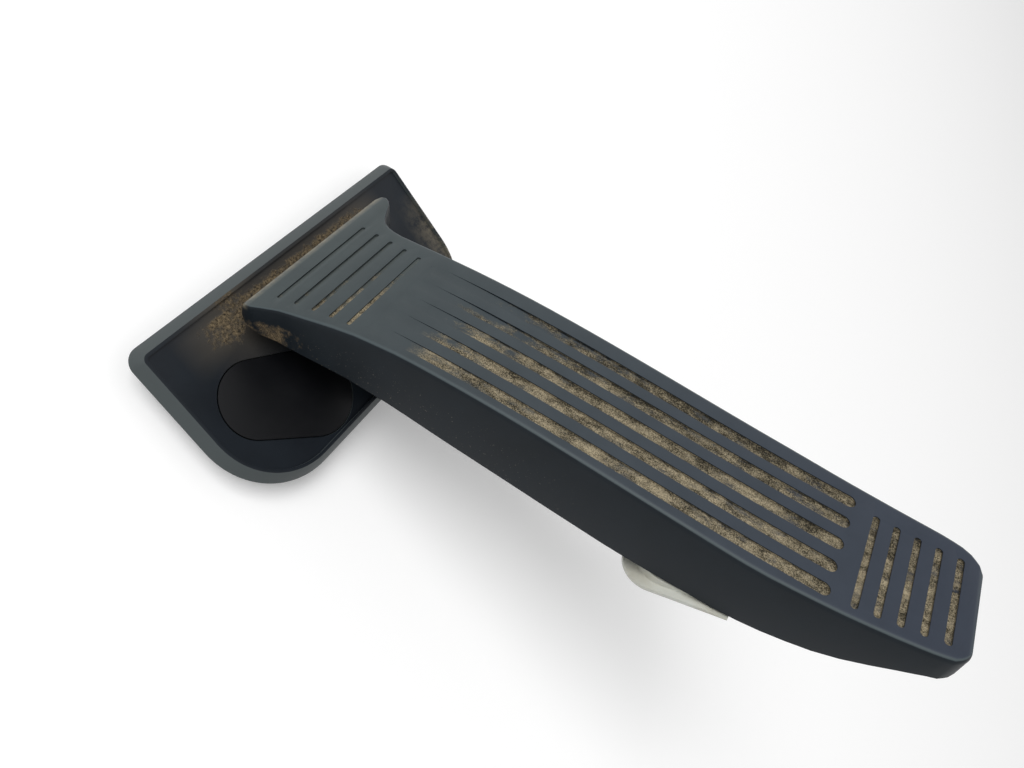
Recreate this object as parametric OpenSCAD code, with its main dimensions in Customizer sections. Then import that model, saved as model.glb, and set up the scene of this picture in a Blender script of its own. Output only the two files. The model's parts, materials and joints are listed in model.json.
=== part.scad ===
// Floor-hinged electronic accelerator pedal, as fitted to a car.
// X runs along the hinge, Y from the heel edge of the foot plate to its far edge, Z up from the floor.
// The origin is the middle of the steel backing plate's underside.

/* [Foot plate] */
// Width of the foot plate along the hinge
plate_w = 150; // [140:1:165]
// Depth of the foot plate from heel edge to far edge
plate_d = 74; // [72:1:80]
// Radius of the two far corners
plate_far_r = 33; // [24:1:35]
// Radius of the two heel corners
plate_heel_r = 6; // [5:1:10]
// Height of the rim's lower edge above the floor, the thickness of a carpet
rim_lift = 12; // [11:0.5:14]
// Height of the bevelled rim
rim_h = 4.5; // [4:0.5:6]
// Width of the bevel in plan
bevel_w = 3.4; // [2.5:0.1:4]
// Width of the narrow crest inside the bevel
crest_w = 1.2; // [0.8:0.1:2]
// Step from the rim's crest down to the panel
panel_step = 1; // [0.5:0.1:1.5]
// Thickness of the panel
panel_t = 2.4; // [2:0.1:3]
// Wall thickness of the box under the panel
box_wall = 2.5; // [2:0.1:3.5]
// Length of the box under the panel, along the hinge
box_w = 118; // [110:1:124]
// Distance of the box from the heel edge
box_heel = 6; // [5:0.5:9]
// Distance of the box from the far edge
box_far = 11; // [10:0.5:14]
// Corner radius of the box
box_r = 8; // [5:1:12]
// Thickness of the stiffening ribs under the panel
rib_t = 1.8; // [1.5:0.1:2.5]

/* [Fixings] */
// Thickness of the steel backing plate
backing_t = 2; // [1.5:0.1:2.5]
// Distance between the two fixing bolts
bolt_spacing = 80; // [74:1:84]
// Distance of the fixing bolts from the heel edge
bolt_y = 49; // [46:0.5:51]
// Radius of the fixing holes, for M6 bolts
bolt_hole_r = 3.3; // [3.1:0.1:3.6]
// Outer radius of the steel sleeves that the bolts clamp
sleeve_r = 5.5; // [5:0.1:6]
// Depth of the pocket that takes a bolt head, below the panel
head_pocket = 7; // [6:0.5:8]
// Radius of the pocket that takes a bolt head
head_r = 9; // [8:0.5:10]
// Thickness of the flush cap over the near bolt
cap_t = 1.6; // [1.2:0.1:2]
// Gap round the flush cap
cap_gap = 0.5; // [0.3:0.1:0.7]
// Radius of the small screws' shanks
screw_r = 1.5; // [1.2:0.1:1.8]
// Radius of the small screws' heads
screw_head_r = 2.8; // [2.4:0.1:3.2]
// Height of the small screws' heads
screw_head_h = 1.5; // [1.2:0.1:2]

/* [Hinge] */
// Radius of the hinge pin
pin_r = 2.5; // [2:0.1:3]
// Running clearance between pin and bushes
pin_clear = 0.05; // [0.02:0.01:0.1]
// Outer radius of the hinge bushes
bush_r = 4; // [3.6:0.1:4.4]
// Length of each hinge bush without its flange
bush_len = 9; // [6:0.5:11]
// Thickness of the bush flange
bush_flange_t = 0.8; // [0.6:0.1:1]
// Radius of the hinge barrel on the foot plate
barrel_r = 6; // [5.6:0.1:6.4]
// Length of the hinge barrel
barrel_len = 26; // [24:1:28]
// Thickness of each hinge lug under the pad
lug_t = 5; // [4:0.5:6]
// Place of the hinge along the pad, from its heel
hinge_u = 9; // [8.5:0.5:10]
// Depth of the hinge below the pad's heel edge
hinge_w = 9; // [8.5:0.5:9.5]

/* [Pad] */
// Length of the pad
pad_len = 256; // [250:1:260]
// Angle between the released pad and the foot plate
pad_angle = 41; // [40:0.5:42]
// Distance of the pad's middle line from the plate's middle
pad_x = 4.5; // [3.5:0.5:5.5]
// Distance of the pad's heel edge from the plate's heel edge
heel_in = 8; // [7:0.5:9]
// Height of the pad's heel edge above the rim's lower edge
heel_rise = 16.1; // [15.6:0.1:17]
// Thickness of the pad's top wall
pad_top_t = 2.8; // [2.4:0.1:3.2]
// Thickness of the pad's skirts
skirt_t = 2.4; // [2:0.1:2.8]
// Outward draft of the skirts, as a share of their depth
skirt_draft = 0.12; // [0.1:0.01:0.14]
// Radius of the rounded crests along both sides
crest_r = 2.2; // [2:0.1:3]
// Radius of the crests at the heel edge
crest_heel_r = 1.2; // [1:0.1:1.6]
// Rise of the crown's curve in the heel half
crown_heel = 18; // [14:1:20]
// Fall of the crown's curve in the tip half
crown_tip = -7; // [-9:1:-5]
// Depth of the pad's underside ribs, measured from its heel edge
rib_depth = 6; // [5:0.5:6.5]

/* [Grooves] */
// Number of grooves in each of the three fields
groove_count = 5; // [3:1:5]
// Spacing of the long grooves
long_pitch = 9.4; // [9:0.1:9.6]
// Width of the long grooves
long_w = 4.8; // [4:0.1:5.2]
// Depth of the long grooves
long_depth = 1.2; // [0.8:0.1:1.4]
// Where the long grooves have faded out at the heel
long_start = 50; // [48:1:60]
// Length over which the long grooves fade in
long_fade = 42; // [30:1:60]
// Round tip ends of the long grooves
long_end = 212.4; // [205:0.5:214]
// Spacing of the heel and tip grooves
cross_pitch = 7; // [6.5:0.1:7]
// Width of the heel grooves
heel_groove_w = 1.6; // [1.2:0.1:2]
// Depth of the heel grooves
heel_groove_d = 0.5; // [0.4:0.1:1]
// Place of the first heel groove
heel_groove_u = 9.5; // [9:0.5:11]
// Width of the tip grooves
tip_groove_w = 2.4; // [2:0.1:3]
// Depth of the tip grooves
tip_groove_d = 1; // [0.6:0.1:1.3]
// Place of the first tip groove
tip_groove_u = 220; // [218:0.5:221]

/* [Slide track] */
// Heel end of the nylon slide track
track_u0 = 153; // [151:1:155]
// Tip end of the nylon slide track
track_u1 = 200; // [196:1:202]
// Half width of the track's foot
track_half = 32; // [30:0.5:33]
// Thickness of the track's running plate
track_t = 2.4; // [2:0.1:2.6]
// Thickness of the lip round the foot
lip_t = 1.6; // [1.2:0.1:2]
// Width of the lip round the foot
lip_w = 3; // [2:0.5:3.5]
// Angle of the foot's lower face to the pad
foot_angle = 10.9; // [10:0.1:12]
// Depth of the foot's lower face at the heel end, below the pad's heel edge
foot_depth = 33.4; // [32:0.1:34]

/* [Lever] */
// Height of the lever shaft above the rim's lower edge
shaft_rise = 16; // [16:0.1:16.5]
// Distance of the lever shaft from the heel edge
shaft_in = 50; // [49.5:0.1:50.5]
// Length of the lever from shaft to roller
lever_len = 138; // [137:0.5:139]
// Angle of the released lever to the foot plate
lever_angle = 45; // [44.8:0.1:45]
// Width of the lever's arm
lever_w = 6; // [5:0.5:6]
// Depth of the lever's arm at the hub
arm_d0 = 11; // [10:0.5:12]
// Depth of the lever's arm at the fork
arm_d1 = 7.5; // [7:0.5:8]
// Radius of the lever's hub
hub_r = 8; // [7.5:0.1:8]
// Radius of the lever shaft
shaft_r = 3; // [2.5:0.1:3.2]
// Radius of the roller
roller_r = 6; // [5.5:0.1:6]
// Gap between the released roller and its track
roller_gap = 0.3; // [0.2:0.05:0.4]
// Radius of the roller pin
roller_pin_r = 1.5; // [1.2:0.1:1.8]

/* [Sensor case] */
// Distance of the case from the heel edge
case_in = 30; // [29.5:0.5:31]
// Length of the case along the foot plate
case_d = 42; // [41:0.5:43]
// Height of the case's low front above the panel
case_h = 8.5; // [8:0.5:9.5]
// Radius of the case's rounded top round the shaft
case_r = 11; // [10.6:0.1:11.2]
// Height of the case's back above the panel
case_back_h = 18.5; // [18:0.5:19.5]
// Wall thickness of the case
case_wall = 2; // [1.6:0.1:2.4]
// Width of the chamber in which the lever swings
swing_w = 11.5; // [11.2:0.1:11.6]
// Thickness of the wall between lever and electronics
mid_wall = 1.5; // [1.2:0.1:1.6]
// Depth of the electronics chamber
chamber_w = 4.8; // [4.6:0.1:5]
// Thickness of the solid wall on the other side
end_wall = 5.5; // [5:0.1:6]
// Thickness of the cover
cover_t = 1.6; // [1.4:0.1:2]
// Thickness of the circuit board
board_t = 1.2; // [1:0.1:1.4]
// Length of the connector socket
socket_len = 14; // [12:0.5:15]
// Width of the connector socket's inside
socket_w = 15.2; // [14:0.1:16]
// Height of the connector socket's inside
socket_h = 7.2; // [6.5:0.1:8]
// Wall thickness of the connector socket
socket_wall = 1.4; // [1.2:0.1:1.8]
// Number of contact pins
pin_count = 6; // [4:1:6]
// Spacing of the contact pins
pin_pitch = 2.3; // [2:0.1:2.4]
// Thickness of a contact pin
contact_t = 0.8; // [0.6:0.1:1]

/* [Springs] */
// Coil radius of the outer return spring, to the wire's middle
outer_coil_r = 4; // [3.8:0.1:4.2]
// Wire radius of the outer return spring
outer_wire_r = 0.6; // [0.5:0.05:0.7]
// Coil radius of the inner return spring
inner_coil_r = 2.2; // [2:0.1:2.4]
// Wire radius of the inner return spring
inner_wire_r = 0.4; // [0.3:0.05:0.5]
// Distance of the return springs from the lever shaft
spring_out = 14.5; // [14:0.1:15]

/* [Hidden] */
$fn = 64;
facets = 48;
eps = 0.01;
fit_gap = 0.02;
body_gap = 0.3;
far_reach = 400;

heel_y = -plate_d / 2;
far_y = plate_d / 2;
crest_z = rim_lift + rim_h;
panel_z = crest_z - panel_step;
panel_under = panel_z - panel_t;
rim_inset = bevel_w + crest_w;

pad_y = heel_y + heel_in;
pad_z = rim_lift + heel_rise;
hinge_y = pad_y + hinge_u * cos(pad_angle) + hinge_w * sin(pad_angle);
hinge_z = pad_z + hinge_u * sin(pad_angle) - hinge_w * cos(pad_angle);
shaft_y = heel_y + shaft_in;
shaft_z = rim_lift + shaft_rise;

// The case is built from the lever chamber outwards, along X.
swing_x0 = pad_x - 13.5;
swing_x1 = swing_x0 + swing_w;
lever_x = (swing_x0 + swing_x1) / 2;
mid_x0 = swing_x0 - mid_wall;
chamber_x0 = mid_x0 - chamber_w;
cover_x0 = chamber_x0 - cover_t;
case_x1 = swing_x1 + end_wall;
case_y0 = heel_y + case_in;
case_y1 = case_y0 + case_d;
floor_z = panel_z + case_wall;
front_z = panel_z + case_h;

// Where the released roller's middle lies, seen from the pad's heel edge.
roller_y = shaft_y + lever_len * cos(lever_angle);
roller_z = shaft_z + lever_len * sin(lever_angle);
roller_u = (roller_y - pad_y) * cos(pad_angle) + (roller_z - pad_z) * sin(pad_angle);
roller_w = (roller_z - pad_z) * cos(pad_angle) - (roller_y - pad_y) * sin(pad_angle);
run_w = roller_w + roller_r + roller_gap;

back_z = panel_z + case_back_h;
post_in = 3.5;
post_half = 3.4;
socket_y = shaft_y + 5;
socket_z = panel_z + 7.2;
board_x0 = chamber_x0 + 0.3;
magnet_x0 = board_x0 + board_t + 1;
magnet_t = 1.2;
magnet_r = 6;
seal_t = 0.6;
cover_screw_r = 0.9;
shoe_gap = 0.3;
shoe_t = 2;
roller_w_x = 5.8;
spring_top = shaft_z + 3;
spring_seat = outer_coil_r + outer_wire_r;
stop_seat = shaft_z + case_r + 2;
deep = far_reach / 8;
tail_lean = 12;
track_in = 19.5;
track_wall = 2.2;
track_out = track_in + track_wall;
foot_top = -25.9;
boss_half = 16;
screw_depth = 7.5;

rubber = [0.13, 0.13, 0.14];
moulding = [0.2, 0.21, 0.23];
dark = [0.12, 0.12, 0.13];
nylon = [0.86, 0.86, 0.8];
nylon_dark = [0.25, 0.25, 0.27];
brass = [0.78, 0.62, 0.3];
steel = [0.72, 0.73, 0.75];
zinc = [0.6, 0.61, 0.63];
board_green = [0.1, 0.35, 0.2];

// Foot plate outline in plan, drawn in by a distance.
module plate_outline(inset = 0) {
    w = plate_w - 2 * inset;
    d = plate_d - 2 * inset;
    far = plate_far_r - inset;
    near = max(plate_heel_r - inset, 1);
    translate([-w / 2 + near, -d / 2]) square([w - 2 * near, d - far]);
    translate([-w / 2, -d / 2 + near]) square([w, d - far - near]);
    translate([-w / 2 + far, -d / 2 + near]) square([w - 2 * far, d - near]);
    for (side = [-1, 1]) {
        translate([side * (w / 2 - far), d / 2 - far]) circle(far);
        translate([side * (w / 2 - near), -d / 2 + near]) circle(near);
    }
}

// Outline of the box under the panel, drawn in by a distance.
module box_outline(inset = 0) {
    w = box_w - 2 * inset;
    d = plate_d - box_heel - box_far - 2 * inset;
    r = max(box_r - inset, 1);
    translate([-w / 2, heel_y + box_heel + inset]) {
        translate([r, 0]) square([w - 2 * r, d]);
        translate([0, r]) square([w, d - 2 * r]);
        for (x = [r, w - r])
            for (y = [r, d - r])
                translate([x, y]) circle(r);
    }
}

// Oval outline of the flush cap, larger by a distance.
module cap_outline(grow = 0) {
    big = [29, heel_y + 51.4, 16.8];
    small = [49, heel_y + 39, 14.5];
    step = small - big;
    span = norm([step.x, step.y]);
    turn = atan2(step.y, step.x);
    lean = asin((big[2] - small[2]) / span);
    translate([big.x, big.y]) circle(big[2] + grow);
    translate([small.x, small.y]) circle(small[2] + grow);
    translate([big.x, big.y])
        rotate(turn)
            polygon([
                for (side = [1, -1])
                    for (end = side > 0 ? [0, 1] : [1, 0])
                        let (r = (end == 0 ? big[2] : small[2]) + grow)
                            [end * span + r * sin(lean), side * r * cos(lean)]
            ]);
}

// The four screws that hold the steel backing plate.
function backing_points() = [
    for (x = [-1, 1])
        for (y = [0, 1])
            [x * (box_w / 2 - 7), heel_y + (y == 0 ? box_heel + 7 : plate_d - box_far - 7)]
];

// The four screws that hold the sensor case, from below.
function case_points() = [
    for (x = [(mid_x0 + chamber_x0) / 2 + 0.4, case_x1 - end_wall / 2])
        for (y = [case_y0 + post_in, case_y1 - post_in])
            [x, y]
];

module across(x0, x1) {
    translate([x0, 0, 0]) rotate([90, 0, 90]) linear_extrude(x1 - x0) children();
}

module at_hinge(x0, x1, r) {
    translate([x0, hinge_y, hinge_z]) rotate([0, 90, 0]) cylinder(r = r, h = x1 - x0);
}

module at_shaft(x0, x1, r) {
    translate([x0, shaft_y, shaft_z]) rotate([0, 90, 0]) cylinder(r = r, h = x1 - x0);
}

module in_pad() {
    translate([pad_x, pad_y, pad_z]) rotate([pad_angle, 0, 0]) children();
}

// The moulded foot plate: bevelled rim, sunken panel, box and ribs below, hinge barrel above.
module base_plate() {
    color(moulding)
        difference() {
            union() {
                difference() {
                    rim_body();
                    translate([0, 0, panel_z]) linear_extrude(rim_h) plate_outline(rim_inset);
                    difference() {
                        translate([0, 0, rim_lift - eps])
                            linear_extrude(panel_under - rim_lift + eps) plate_outline(rim_inset);
                        translate([0, 0, rim_lift - 2 * eps]) linear_extrude(rim_h) box_outline();
                    }
                }
                hinge_barrel();
            }
            under_box_space();
            at_hinge(pad_x - barrel_len, pad_x + barrel_len, bush_r + fit_gap);
            for (side = [-1, 1])
                translate([side * bolt_spacing / 2, heel_y + bolt_y, 0]) {
                    cylinder(r = sleeve_r + fit_gap, h = crest_z);
                    translate([0, 0, panel_z - head_pocket]) cylinder(r = head_r, h = crest_z);
                }
            translate([0, 0, panel_z - cap_t - fit_gap]) linear_extrude(crest_z) cap_outline(cap_gap);
            translate([0, 0, panel_under - cap_t]) linear_extrude(crest_z) cap_outline(-2.5);
            for (p = backing_points())
                translate([p.x, p.y, 0]) cylinder(r = screw_r + fit_gap, h = panel_under - 1);
            translate([cover_x0 - body_gap, far_y - rim_inset - eps, panel_z])
                cube([case_x1 - cover_x0 + 2 * body_gap, plate_d, rim_h]);
            for (p = case_points())
                translate([p.x, p.y, 0]) {
                    cylinder(r = screw_r + fit_gap, h = crest_z);
                    cylinder(r = screw_head_r + body_gap, h = panel_under + screw_head_h - 1);
                }
        }
}

module rim_body() {
    hull() {
        translate([0, 0, rim_lift]) linear_extrude(eps) plate_outline($fn = facets * 2);
        translate([0, 0, crest_z - eps]) linear_extrude(eps) plate_outline(bevel_w, $fn = facets * 2);
    }
    translate([0, 0, backing_t]) linear_extrude(panel_under - backing_t) box_outline();
}

// Hollow of the box, with its ribs and the bosses round the fixings left standing.
module under_box_space() {
    boss_r = head_r + 2;
    difference() {
        linear_extrude(panel_under) box_outline(box_wall);
        for (x = [-box_w / 3, -box_w / 6, 0, box_w / 6, box_w / 3])
            translate([x - rib_t / 2, heel_y, backing_t + 3]) cube([rib_t, plate_d, crest_z]);
        translate([-box_w / 2, -5 - rib_t / 2, backing_t + 3]) cube([box_w, rib_t, crest_z]);
        for (side = [-1, 1])
            translate([side * bolt_spacing / 2, heel_y + bolt_y, backing_t]) cylinder(r = boss_r, h = crest_z);
        for (p = backing_points())
            translate([p.x, p.y, backing_t]) cylinder(r = screw_r + 2.2, h = crest_z);
        translate([0, 0, panel_under - cap_t - panel_t]) linear_extrude(crest_z) cap_outline(cap_gap + 1.5);
    }
}

module hinge_barrel() {
    at_hinge(pad_x - barrel_len / 2, pad_x + barrel_len / 2, barrel_r);
    across(pad_x - barrel_len / 2, pad_x + barrel_len / 2)
        polygon([
            [hinge_y - barrel_r + 1, panel_under],
            [hinge_y - barrel_r + 1, hinge_z],
            [hinge_y + barrel_r, hinge_z],
            [hinge_y + barrel_r + 2, panel_under]
        ]);
}

// Pressed steel plate that closes the box and lies on the floor.
module backing_plate() {
    color(zinc)
        difference() {
            linear_extrude(backing_t) box_outline(0);
            for (side = [-1, 1])
                translate([side * bolt_spacing / 2, heel_y + bolt_y, -eps]) cylinder(r = bolt_hole_r, h = 5);
            for (p = backing_points())
                translate([p.x, p.y, -eps]) {
                    cylinder(r = screw_r + 0.1, h = 5);
                    cylinder(r1 = screw_head_r + 0.1, r2 = screw_r + 0.1, h = screw_head_h);
                }
            for (p = case_points())
                translate([p.x, p.y, -eps]) cylinder(r = screw_head_r + 1, h = 5);
        }
}

module backing_screws() {
    color(steel)
        for (p = backing_points())
            translate([p.x, p.y, 0]) {
                cylinder(r = screw_r, h = panel_under - 2);
                cylinder(r1 = screw_head_r, r2 = screw_r, h = screw_head_h - 0.1);
            }
}

module fixing_sleeves() {
    color(steel)
        for (side = [-1, 1])
            translate([side * bolt_spacing / 2, heel_y + bolt_y, backing_t])
                difference() {
                    cylinder(r = sleeve_r, h = panel_z - head_pocket - backing_t);
                    translate([0, 0, -1]) cylinder(r = bolt_hole_r, h = crest_z);
                }
}

module fixing_cap() {
    color(dark)
        translate([0, 0, panel_z - cap_t]) {
            linear_extrude(cap_t) cap_outline(0);
            translate([0, 0, -cap_t])
                difference() {
                    linear_extrude(cap_t + eps) cap_outline(-2.5 - 0.1);
                    translate([0, 0, -eps]) linear_extrude(cap_t) cap_outline(-2.5 - 1.4);
                }
        }
}

module hinge_bushes() {
    color(nylon)
        for (side = [-1, 1])
            translate([pad_x, hinge_y, hinge_z])
                rotate([0, side * 90, 0])
                    difference() {
                        union() {
                            translate([0, 0, barrel_len / 2 - bush_len]) cylinder(r = bush_r, h = bush_len);
                            translate([0, 0, barrel_len / 2]) cylinder(r = barrel_r - 0.4, h = bush_flange_t);
                        }
                        translate([0, 0, -1]) cylinder(r = pin_r + pin_clear, h = barrel_len);
                    }
}

lug_gap = 0.2;
lug_in = barrel_len / 2 + bush_flange_t + lug_gap;

module hinge_pin() {
    color(steel) at_hinge(pad_x - lug_in - lug_t, pad_x + lug_in + lug_t, pin_r);
}

// Stations along the pad from heel to tip: place, half width on the near side and on the far side.
// The heel flares into two ears, the longer one on the far side, and the tip draws in.
near_side = [
    [0, 32], [3, 33], [8, 31.5], [14, 29.8], [24, 28.6], [40, 26.2], [60, 25.2], [110, 25.3],
    [190, 26.2], [205, 25.2], [220, 24], [235, 22.4], [246, 21], [251, 20], [253.5, 18.3],
    [255.2, 16.2], [256, 14]
];
far_side = [
    [0, 45.5], [2, 48.5], [4, 49], [7, 47], [9, 43.5], [11, 38.2], [14, 34], [18, 31.4], [24, 30.2],
    [32, 29.8], [46, 29.4], [82, 29.3], [140, 28.9], [190, 28.4], [220, 27.2], [236, 26.3], [243, 25.7],
    [248, 24.6], [251, 23.2], [253.5, 21], [255.2, 18.2], [256, 15.5]
];
skirt_line = [
    [0, -5.2], [3, -7.6], [8, -10.2], [15, -11.2], [40, -13.9], [80, -18.2], [120, -22], [148, -24.3],
    [164, -24.8], [190, -24.8], [205, -24.1], [217, -22.3], [228, -19.3], [236, -15.8], [243, -12.8],
    [249, -10.6], [256, -9.4]
];
pad_size = pad_len / 256;

function near_half(u) = lookup(u / pad_size, near_side);
function far_half(u) = lookup(u / pad_size, far_side);
function skirt_low(u) = lookup(u / pad_size, skirt_line);

// Height of the crown over the straight line from heel edge to tip: a cubic curve.
function crown(u) =
    let (t = u / pad_len)
        3 * pow(1 - t, 2) * t * crown_heel + 3 * (1 - t) * t * t * crown_tip;

// The top rounds off over the last few millimetres at both ends.
end_r = 2.2;
function end_drop(u) =
    let (gap = min(u, pad_len - u))
        gap >= end_r ? 0 : end_r - sqrt(end_r * end_r - pow(end_r - gap, 2));

pad_stations = [
    for (u = [0, 0.7, 2.2, 4, 6, 8, 10, 12, 14, 17, 20, 24, 28]) u,
    for (u = [34:8:pad_len - 20]) u,
    for (back = [15, 11, 8, 5, 3.4, 2.2, 0.7, 0]) pad_len - back
];

arc_steps = 4;

// The crests are crisp at the heel and full round from a little further on.
function crest(u) = crest_heel_r + (crest_r - crest_heel_r) * min(1, max(0, (u - 6) / 24));

// Cross-section of the pad at one station: a drafted skirt, a rounded crest, the top, and back down.
function pad_section(u) =
    let (
        top = crown(u) - end_drop(u),
        low = skirt_low(u),
        n = near_half(u),
        f = far_half(u),
        r = crest(u),
        out = (top - low) * skirt_draft
    )
        concat(
            [[n + out, low]],
            [for (i = [0:arc_steps])
                let (a = 90 * i / arc_steps)
                    [n - r + r * cos(a), top - r + r * sin(a)]],
            [for (i = [0:arc_steps])
                let (a = 90 + 90 * i / arc_steps)
                    [-f + r + r * cos(a), top - r + r * sin(a)]],
            [[-f - out, low]]
        );

function cavity_section(u) =
    let (
        top = crown(u) - pad_top_t,
        low = -far_reach / 8,
        n = near_half(u) - skirt_t,
        f = far_half(u) - skirt_t,
        out = (top - low) * skirt_draft
    )
        [[n + out, low], [n, top], [-f, top], [-f - out, low]];

// A skin over a row of cross-sections, which all have the same number of points.
module loft(stations, sections) {
    rows = len(sections);
    ring = len(sections[0]);
    points = [
        for (r = [0:rows - 1])
            for (p = sections[r])
                [p.x, stations[r], p.y]
    ];
    sides = [
        for (r = [0:rows - 2])
            for (k = [0:ring - 1])
                let (a = r * ring + k, b = r * ring + (k + 1) % ring)
                    for (face = [[a, b, b + ring], [a, b + ring, a + ring]]) face
    ];
    first = [for (k = [ring - 1:-1:0]) k];
    last = [for (k = [0:ring - 1]) (rows - 1) * ring + k];
    polyhedron(points = points, faces = concat(sides, [first, last]));
}

cavity_stations = [
    for (u = [skirt_t, 4, 6, 8, 10, 12, 14, 17, 20, 24, 28]) u,
    for (u = [34:8:pad_len - 20]) u,
    for (back = [15, 11, 8, 5, 3.4]) pad_len - back
];

// Depth of the groove floor below the top at each place along the pad.
function groove_depth(u) =
    u < heel_field_end ? heel_groove_d
    : u < tip_field_start ? long_depth * min(1, max(0, (u - long_start) / long_fade))
    : tip_groove_d;

heel_field_end = heel_groove_u + (groove_count - 0.5) * cross_pitch;
tip_field_start = (long_end + tip_groove_u) / 2;

groove_steps = [
    for (u = [2, heel_field_end - eps, heel_field_end, long_start - eps]) u,
    for (u = [long_start:8:tip_field_start - 4]) u,
    for (u = [tip_field_start - eps, tip_field_start, pad_len - 12, pad_len - 2]) u
];

module groove_band() {
    across(-far_reach / 4, far_reach / 4)
        polygon(concat(
            [for (u = groove_steps) [u, crown(u) - groove_depth(u)]],
            [[pad_len - 2, far_reach / 8], [2, far_reach / 8]]
        ));
}

module slot_shape(p0, p1, w) {
    step = p1 - p0;
    span = norm(step);
    translate(p0) rotate(atan2(step.y, step.x)) {
        translate([0, -w / 2]) square([span, w]);
        circle(w / 2);
        translate([span, 0]) circle(w / 2);
    }
}

// The three groove fields in plan: heel, long and tip.
module groove_plan() {
    middle = (groove_count - 1) / 2;
    for (i = [0:groove_count - 1]) {
        heel_u = heel_groove_u + i * cross_pitch;
        tip_u = tip_groove_u + i * cross_pitch;
        slot_shape([-25.4 + 1.1 * i, heel_u], [23.4 - 0.4 * i, heel_u], heel_groove_w);
        slot_shape([(i - middle) * long_pitch, long_start - 4],
                   [(i - middle) * long_pitch, long_end - long_w / 2], long_w);
        slot_shape([-17.2, tip_u], [18.8 - 1.1 * i, tip_u], tip_groove_w);
    }
}

// The pad: a lofted shell with three groove fields, ribs, hinge lugs and bosses for the track.
module pedal_pad() {
    color(rubber)
        in_pad()
            difference() {
                union() {
                    difference() {
                        loft(pad_stations, [for (u = pad_stations) pad_section(u)]);
                        loft(cavity_stations, [for (u = cavity_stations) cavity_section(u)]);
                    }
                    pad_ribs();
                    pad_lugs();
                }
                intersection() {
                    groove_band();
                    linear_extrude(far_reach, center = true) groove_plan();
                }
                translate([-far_reach / 2, hinge_u, -hinge_w])
                    rotate([0, 90, 0])
                        translate([0, 0, far_reach / 2 - lug_in - lug_t - fit_gap])
                            cylinder(r = pin_r + fit_gap, h = 2 * (lug_in + lug_t + fit_gap));
                translate([-lug_in, -eps, -deep]) cube([2 * lug_in, hinge_u, deep - 5]);
                for (p = track_points())
                    translate([p.x, p.y, run_w]) cylinder(r = screw_r + fit_gap, h = screw_depth);
            }
}

function track_points() = [
    for (x = [-boss_half, boss_half])
        for (u = [track_u0 + 6, track_u1 - 6])
            [x, u]
];

// Ribs keep clear above the lever and the case, and run into the top wall: cross ribs at an
// even pitch, and one rail on each side of the lever from rail_u towards the tip.
rib_pitch = 22;
rib_u = 60;
rail_x = 11;
rail_u = 50;
module pad_ribs() {
    intersection() {
        union() {
            for (u = [rib_u:rib_pitch:pad_len - 14])
                translate([-far_reach / 4, u - rib_t / 2, -rib_depth]) cube([far_reach / 2, rib_t, far_reach / 8]);
            for (side = [-1, 1])
                translate([side * rail_x - rib_t / 2, rail_u, -rib_depth])
                    cube([rib_t, pad_len - rail_u - 6, far_reach / 8]);
            for (p = track_points())
                translate([p.x, p.y, run_w + track_t]) cylinder(r = screw_r + 2, h = far_reach / 8);
            stop_block();
        }
        loft(rib_stations, [for (u = rib_stations) rib_section(u)]);
    }
}

rib_stations = [
    for (u = [34:8:pad_len - 20]) u,
    for (back = [15, 11, 8, 5, 3]) pad_len - back
];

function rib_section(u) =
    let (
        top = crown(u) - pad_top_t / 2,
        low = -far_reach / 16,
        n = near_half(u) - skirt_t / 2,
        f = far_half(u) - skirt_t / 2,
        out = (top - low) * skirt_draft
    )
        [[n + out, low], [n, top], [-f, top], [-f - out, low]];

// Block under the pad that meets the rubber buffer at full throttle.
stop_x = (chamber_x0 + mid_x0) / 2 - pad_x;
stop_u = 42;
stop_depth = 3;
module stop_block() {
    translate([stop_x - 3, stop_u - 4, -stop_depth]) cube([6, 9, deep]);
}

// Two lugs carry the hinge pin; a tail on each meets the panel and stops the released pad.
module pad_lugs() {
    tail_len = hinge_z - panel_z - 2 * body_gap;
    back = hinge_u - 6;
    front = hinge_u + 11;
    for (x = [-lug_in - lug_t, lug_in])
        translate([x, 0, 0]) rotate([90, 0, 90]) linear_extrude(lug_t) {
            translate([hinge_u, -hinge_w]) circle(barrel_r + 0.5);
            polygon([
                [back, crown(back) - pad_top_t / 2],
                [back, -hinge_w],
                [hinge_u + 6, -hinge_w],
                [front, crown(front) - pad_top_t / 2]
            ]);
            translate([hinge_u, -hinge_w])
                rotate(-tail_lean - 90 - pad_angle)
                    translate([0, -1.6]) square([tail_len, 3.2]);
        }
}

// Natural nylon slide track: a running plate up in the pad's channel, two walls and a lipped foot.
module slide_track() {
    color(nylon)
        in_pad()
            difference() {
                union() {
                    intersection() {
                        union() {
                            translate([-track_out, track_u0 + 1, run_w])
                                cube([2 * track_out, track_u1 - track_u0 - 1, track_t]);
                            for (side = [-1, 1])
                                translate([side * (track_in + track_wall / 2) - track_wall / 2, track_u0 + 1, -deep])
                                    cube([track_wall, track_u1 - track_u0 - 1, deep + run_w + track_t]);
                            translate([0, 0, -deep]) linear_extrude(deep + foot_top) foot_outline(track_half - lip_w);
                        }
                        foot_slab(deep);
                    }
                    intersection() {
                        translate([0, 0, -deep]) linear_extrude(deep + foot_top) foot_outline(track_half);
                        foot_slab(lip_t);
                    }
                }
                translate([-track_in, 0, -deep]) cube([2 * track_in, pad_len, deep + run_w]);
                for (p = track_points())
                    translate([p.x, p.y, run_w - eps]) {
                        cylinder(r = screw_r + 0.2, h = track_t + 1);
                        cylinder(r1 = screw_head_r + 0.1, r2 = screw_r + 0.1, h = screw_head_h);
                    }
            }
}

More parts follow.
